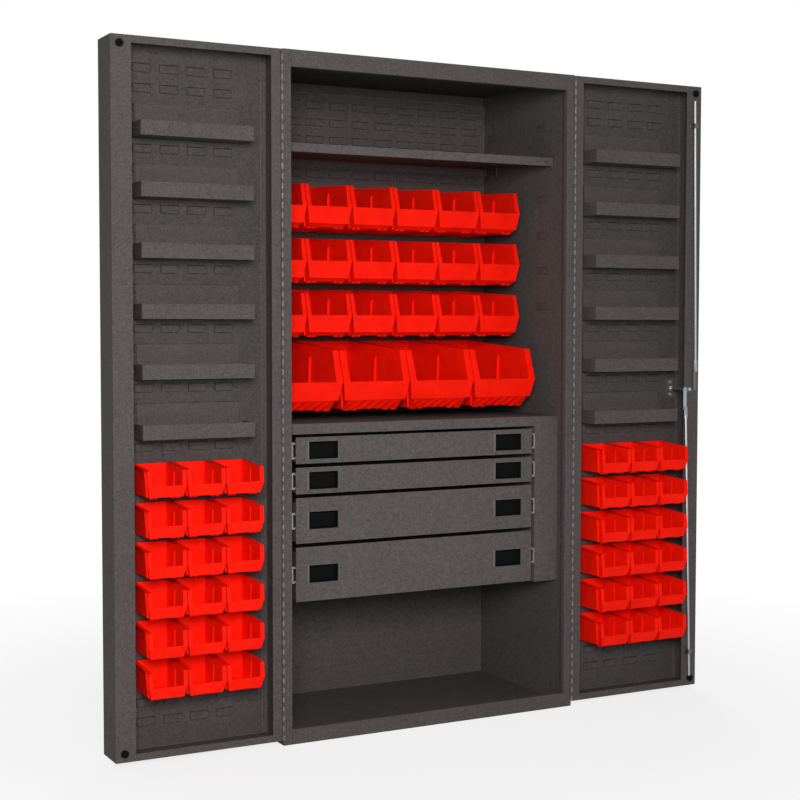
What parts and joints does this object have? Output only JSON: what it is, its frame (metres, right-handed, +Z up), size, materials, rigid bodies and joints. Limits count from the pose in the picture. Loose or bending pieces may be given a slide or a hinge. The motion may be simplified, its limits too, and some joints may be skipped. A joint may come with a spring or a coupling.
{
  "type": "bin cabinet",
  "caption": "Tall steel storage cabinet with deep louvred box doors, hanging plastic bins, door trays, a shelf, drawers and a rod lock.",
  "frame": {"origin": "centre of the cabinet body's base, on the floor; the doors, open at rest, are left out of that centre", "axes": "+Z up, -Y out of the open front, +X towards the door that carries the lock"},
  "size_m": [1.8332, 0.5556, 1.8288],
  "materials": {
    "cabinet_steel": "fine textured powder coat, dark warm grey",
    "bin_plastic": "moulded plastic, red, satin",
    "zinc_steel": "bright zinc plate",
    "handle_metal": "bright plated casting",
    "pull_plastic": "moulded plastic, black",
    "bumper_rubber": "black rubber"
  },
  "bodies": {
    "cabinet": {"left_side_panel": "cabinet_steel", "right_side_panel": "cabinet_steel", "back_panel": "cabinet_steel", "top_panel": "cabinet_steel", "base_panel": "cabinet_steel", "back_louvre_panel": "cabinet_steel", "drawer_unit_left_column": "cabinet_steel", "drawer_unit_right_column": "cabinet_steel", "drawer_unit_top": "cabinet_steel", "slide_cabinet_members": "zinc_steel", "left_hinge_cabinet_leaf": "cabinet_steel", "right_hinge_cabinet_leaf": "cabinet_steel", "left_hinge_pin": "zinc_steel", "right_hinge_pin": "zinc_steel", "shelf_clips": "zinc_steel"},
    "left_door": {"left_door_shell": "cabinet_steel", "left_door_louvre_panel": "cabinet_steel", "left_hinge_door_leaf": "cabinet_steel", "left_door_bumpers": "bumper_rubber"},
    "right_door": {"right_door_shell": "cabinet_steel", "right_door_louvre_panel": "cabinet_steel", "right_hinge_door_leaf": "cabinet_steel", "right_door_bumpers": "bumper_rubber", "lock_mount_plate": "zinc_steel", "lock_mount_nuts": "zinc_steel", "handle_rose": "handle_metal", "rod_guides": "zinc_steel"},
    "left_trays": {"left_door_trays": "cabinet_steel"},
    "right_trays": {"right_door_trays": "cabinet_steel"},
    "left_small_bins": {"left_door_bins": "bin_plastic"},
    "right_small_bins": {"right_door_bins": "bin_plastic"},
    "handle": {"lock_handle": "handle_metal", "lock_spindle": "zinc_steel", "lock_cam": "zinc_steel"},
    "upper_link": {"upper_link": "zinc_steel"},
    "lower_link": {"lower_link": "zinc_steel"},
    "upper_rod": {"upper_rod": "zinc_steel"},
    "lower_rod": {"lower_rod": "zinc_steel"},
    "shelf": {"shelf": "cabinet_steel"},
    "medium_row_1": {"medium_bins_row_1": "bin_plastic"},
    "medium_row_2": {"medium_bins_row_2": "bin_plastic"},
    "medium_row_3": {"medium_bins_row_3": "bin_plastic"},
    "large_row": {"large_bins": "bin_plastic"},
    "drawer_1": {"drawer_1_box": "cabinet_steel", "drawer_1_pulls": "pull_plastic", "drawer_1_slide_inner": "zinc_steel"},
    "drawer_1_middle_members": {"drawer_1_slide_middle": "zinc_steel"},
    "drawer_2": {"drawer_2_box": "cabinet_steel", "drawer_2_pulls": "pull_plastic", "drawer_2_slide_inner": "zinc_steel"},
    "drawer_2_middle_members": {"drawer_2_slide_middle": "zinc_steel"},
    "drawer_3": {"drawer_3_box": "cabinet_steel", "drawer_3_pulls": "pull_plastic", "drawer_3_slide_inner": "zinc_steel"},
    "drawer_3_middle_members": {"drawer_3_slide_middle": "zinc_steel"},
    "drawer_4": {"drawer_4_box": "cabinet_steel", "drawer_4_pulls": "pull_plastic", "drawer_4_slide_inner": "zinc_steel"},
    "drawer_4_middle_members": {"drawer_4_slide_middle": "zinc_steel"}
  },
  "joints": [
    {"name": "left_door_hinge", "type": "hinge", "parent": "cabinet", "child": "left_door", "pos_m": [-0.4587, -0.25675, 0.9144], "axis": [0, 0, 1], "range_deg": [0, 180]},
    {"name": "right_door_hinge", "type": "hinge", "parent": "cabinet", "child": "right_door", "pos_m": [0.4587, -0.25675, 0.9144], "axis": [0, 0, -1], "range_deg": [0, 180]},
    {"name": "drawer_1_slide", "type": "slide", "parent": "cabinet", "child": "drawer_1", "axis": [0, 1, 0], "range_m": [-0.38, 0]},
    {"name": "drawer_1_middle_slide", "type": "slide", "parent": "cabinet", "child": "drawer_1_middle_members", "axis": [0, 1, 0], "range_m": [-0.19, 0]},
    {"name": "drawer_2_slide", "type": "slide", "parent": "cabinet", "child": "drawer_2", "axis": [0, 1, 0], "range_m": [-0.38, 0]},
    {"name": "drawer_2_middle_slide", "type": "slide", "parent": "cabinet", "child": "drawer_2_middle_members", "axis": [0, 1, 0], "range_m": [-0.19, 0]},
    {"name": "drawer_3_slide", "type": "slide", "parent": "cabinet", "child": "drawer_3", "axis": [0, 1, 0], "range_m": [-0.38, 0]},
    {"name": "drawer_3_middle_slide", "type": "slide", "parent": "cabinet", "child": "drawer_3_middle_members", "axis": [0, 1, 0], "range_m": [-0.19, 0]},
    {"name": "drawer_4_slide", "type": "slide", "parent": "cabinet", "child": "drawer_4", "axis": [0, 1, 0], "range_m": [-0.38, 0]},
    {"name": "drawer_4_middle_slide", "type": "slide", "parent": "cabinet", "child": "drawer_4_middle_members", "axis": [0, 1, 0], "range_m": [-0.19, 0]},
    {"name": "handle_turn", "type": "hinge", "parent": "right_door", "child": "handle", "pos_m": [0.8762, -0.2616, 0.9195], "axis": [0, -1, 0], "range_deg": [0, 90]},
    {"name": "upper_link_pivot", "type": "hinge", "parent": "handle", "child": "upper_link", "pos_m": [0.8942, -0.265, 0.9195], "axis": [0, 1, 0], "range_deg": [0, 107.85]},
    {"name": "upper_rod_slide", "type": "slide", "parent": "right_door", "child": "upper_rod", "axis": [-0.0154, 0, 0.9999], "range_m": [0, 0.01522]},
    {"name": "lower_link_pivot", "type": "hinge", "parent": "handle", "child": "lower_link", "pos_m": [0.8582, -0.265, 0.9195], "axis": [0, 1, 0], "range_deg": [0, 107.63]},
    {"name": "lower_rod_slide", "type": "slide", "parent": "right_door", "child": "lower_rod", "axis": [0.029, 0, -0.9996], "range_m": [0, 0.0153]},
    {"name": "shelf_lift", "type": "slide", "parent": "cabinet", "child": "shelf", "axis": [0, 0, 1], "range_m": [0, 0.03]},
    {"name": "medium_row_1_lift", "type": "slide", "parent": "cabinet", "child": "medium_row_1", "axis": [0, 0, 1], "range_m": [0, 0.01]},
    {"name": "medium_row_2_lift", "type": "slide", "parent": "cabinet", "child": "medium_row_2", "axis": [0, 0, 1], "range_m": [0, 0.01]},
    {"name": "medium_row_3_lift", "type": "slide", "parent": "cabinet", "child": "medium_row_3", "axis": [0, 0, 1], "range_m": [0, 0.01]},
    {"name": "large_row_lift", "type": "slide", "parent": "cabinet", "child": "large_row", "axis": [0, 0, 1], "range_m": [0, 0.01]},
    {"name": "left_trays_lift", "type": "slide", "parent": "left_door", "child": "left_trays", "axis": [0, 0, 1], "range_m": [0, 0.01]},
    {"name": "right_trays_lift", "type": "slide", "parent": "right_door", "child": "right_trays", "axis": [0, 0, 1], "range_m": [0, 0.01]},
    {"name": "left_small_bins_lift", "type": "slide", "parent": "left_door", "child": "left_small_bins", "axis": [0, 0, 1], "range_m": [0, 0.01]},
    {"name": "right_small_bins_lift", "type": "slide", "parent": "right_door", "child": "right_small_bins", "axis": [0, 0, 1], "range_m": [0, 0.01]}
  ],
  "couplings": [
    {"joint": "drawer_1_middle_slide", "follows": "drawer_1_slide", "ratio": 0.5},
    {"joint": "drawer_2_middle_slide", "follows": "drawer_2_slide", "ratio": 0.5},
    {"joint": "drawer_3_middle_slide", "follows": "drawer_3_slide", "ratio": 0.5},
    {"joint": "drawer_4_middle_slide", "follows": "drawer_4_slide", "ratio": 0.5},
    {"joint": "upper_link_pivot", "follows": "handle_turn", "ratio": 1.1982},
    {"joint": "upper_rod_slide", "follows": "handle_turn", "m_per_rad": 0.0096855},
    {"joint": "lower_link_pivot", "follows": "handle_turn", "ratio": 1.1958},
    {"joint": "lower_rod_slide", "follows": "handle_turn", "m_per_rad": 0.0097308}
  ]
}
